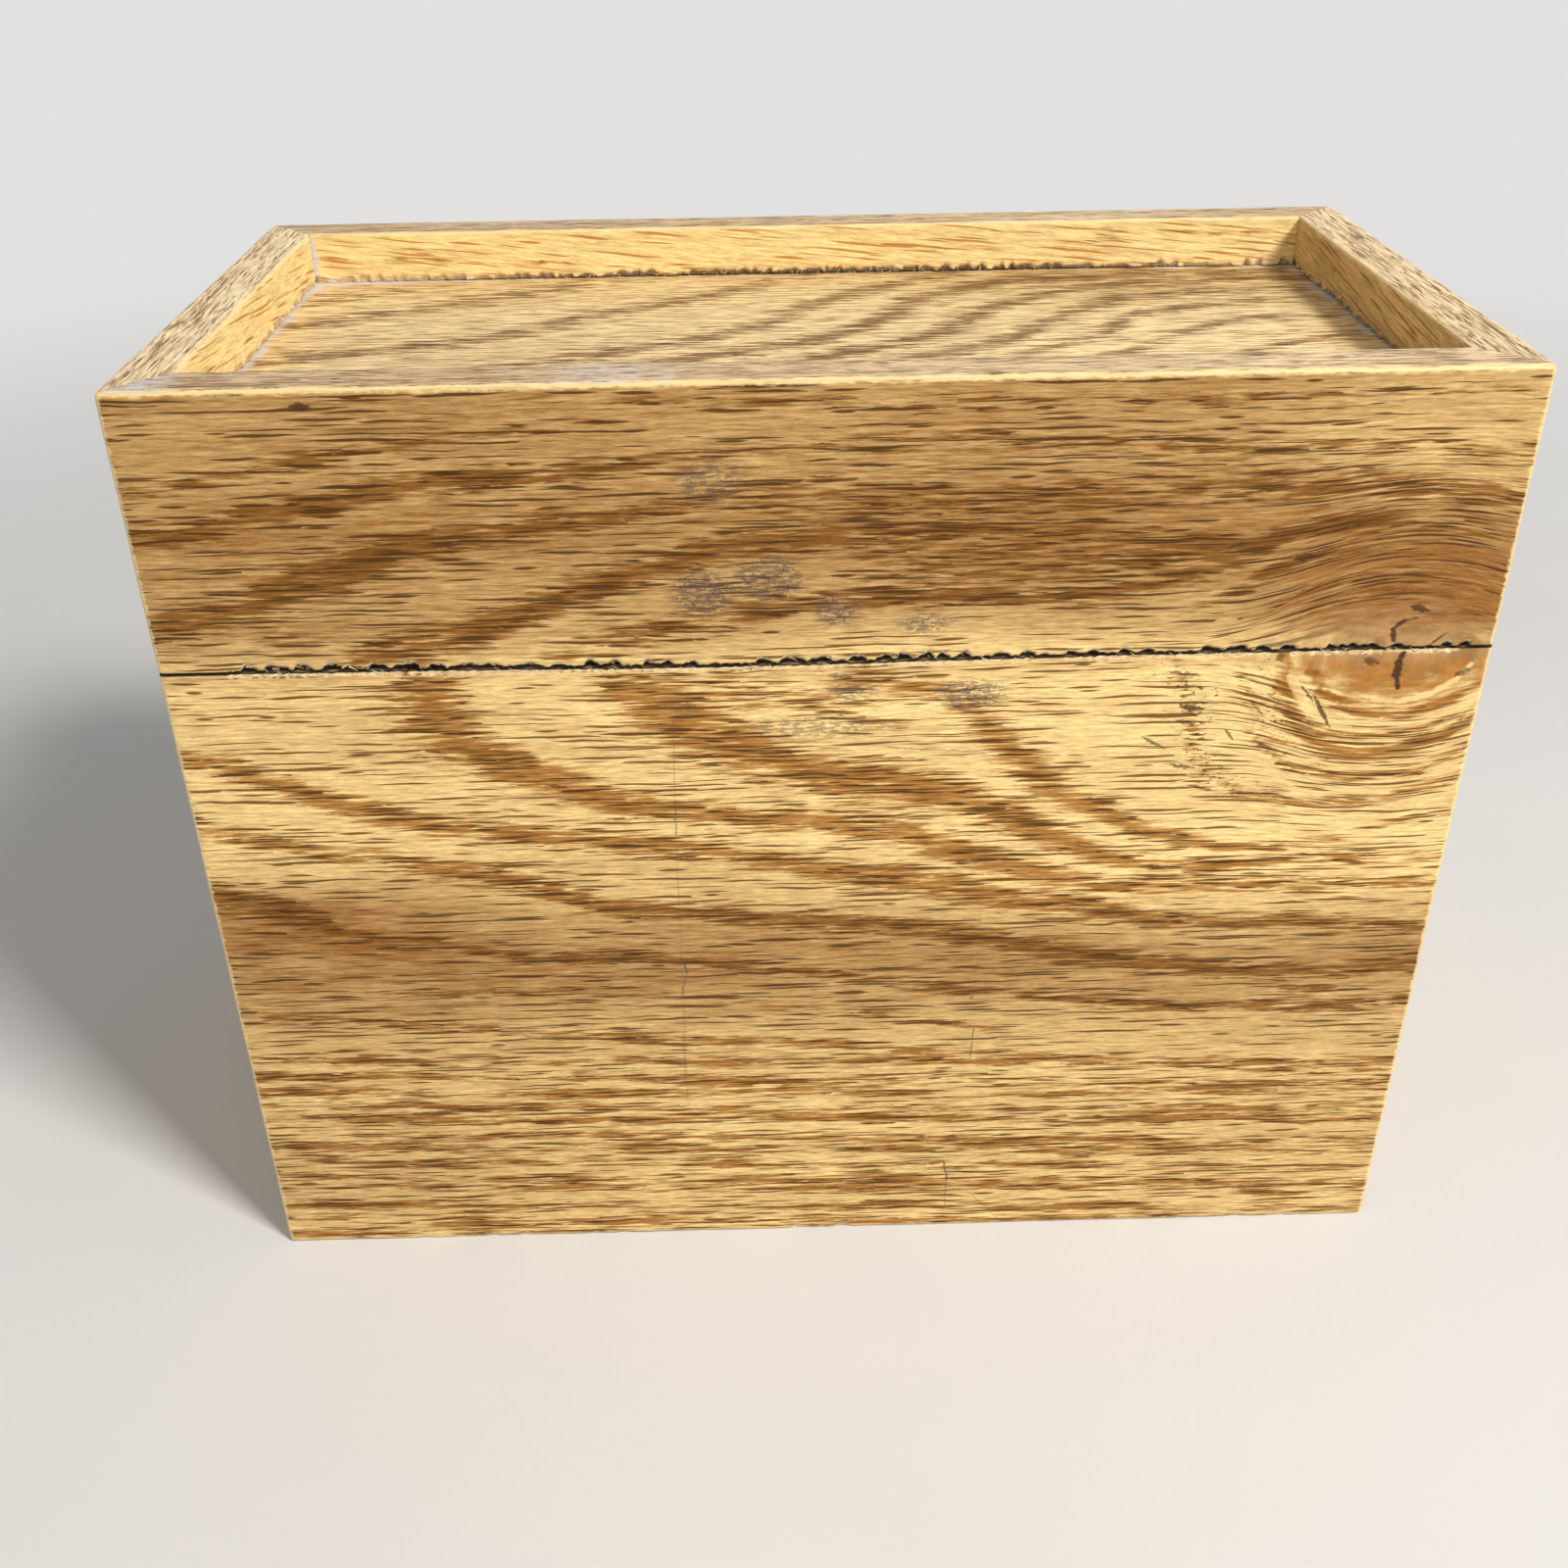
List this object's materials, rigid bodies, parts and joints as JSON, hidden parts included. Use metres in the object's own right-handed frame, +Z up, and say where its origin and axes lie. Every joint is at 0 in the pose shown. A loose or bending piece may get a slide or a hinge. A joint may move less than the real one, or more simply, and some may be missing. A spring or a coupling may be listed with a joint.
{
  "type": "recipe card box",
  "caption": "Oak recipe card box with mitred boards, a lid hinged at the back and a raised rim round a sunk top panel.",
  "frame": {"origin": "on the table, under the middle of the box with its hinge barrels", "axes": "+X along the box's width to the viewer's right, +Y from the front board towards the hinges, +Z up"},
  "size_m": [0.178, 0.0948, 0.1435],
  "materials": {
    "oak_board": "satin clear coat over golden oak, with the grain running level round the box",
    "oak_panel": "satin clear coat over golden oak, with the grain along the box's width",
    "brass": "brushed and slightly dulled"
  },
  "bodies": {
    "base": {"base_front_board": "oak_board", "base_back_board": "oak_board", "base_left_board": "oak_board", "base_right_board": "oak_board", "bottom_panel": "oak_panel", "left_hinge_lower_leaf": "brass", "left_hinge_pin": "brass", "left_hinge_lower_screw_1": "brass", "left_hinge_lower_screw_2": "brass", "right_hinge_lower_leaf": "brass", "right_hinge_pin": "brass", "right_hinge_lower_screw_1": "brass", "right_hinge_lower_screw_2": "brass"},
    "lid": {"lid_front_rail": "oak_board", "lid_back_rail": "oak_board", "lid_left_rail": "oak_board", "lid_right_rail": "oak_board", "lid_panel": "oak_panel", "left_hinge_upper_leaf": "brass", "left_hinge_upper_screw_1": "brass", "left_hinge_upper_screw_2": "brass", "right_hinge_upper_leaf": "brass", "right_hinge_upper_screw_1": "brass", "right_hinge_upper_screw_2": "brass"}
  },
  "joints": [
    {"name": "lid_hinge", "type": "hinge", "parent": "base", "child": "lid", "pos_m": [0, 0.04515, 0.1053], "axis": [-1, 0, 0], "range_deg": [0, 180]}
  ]
}
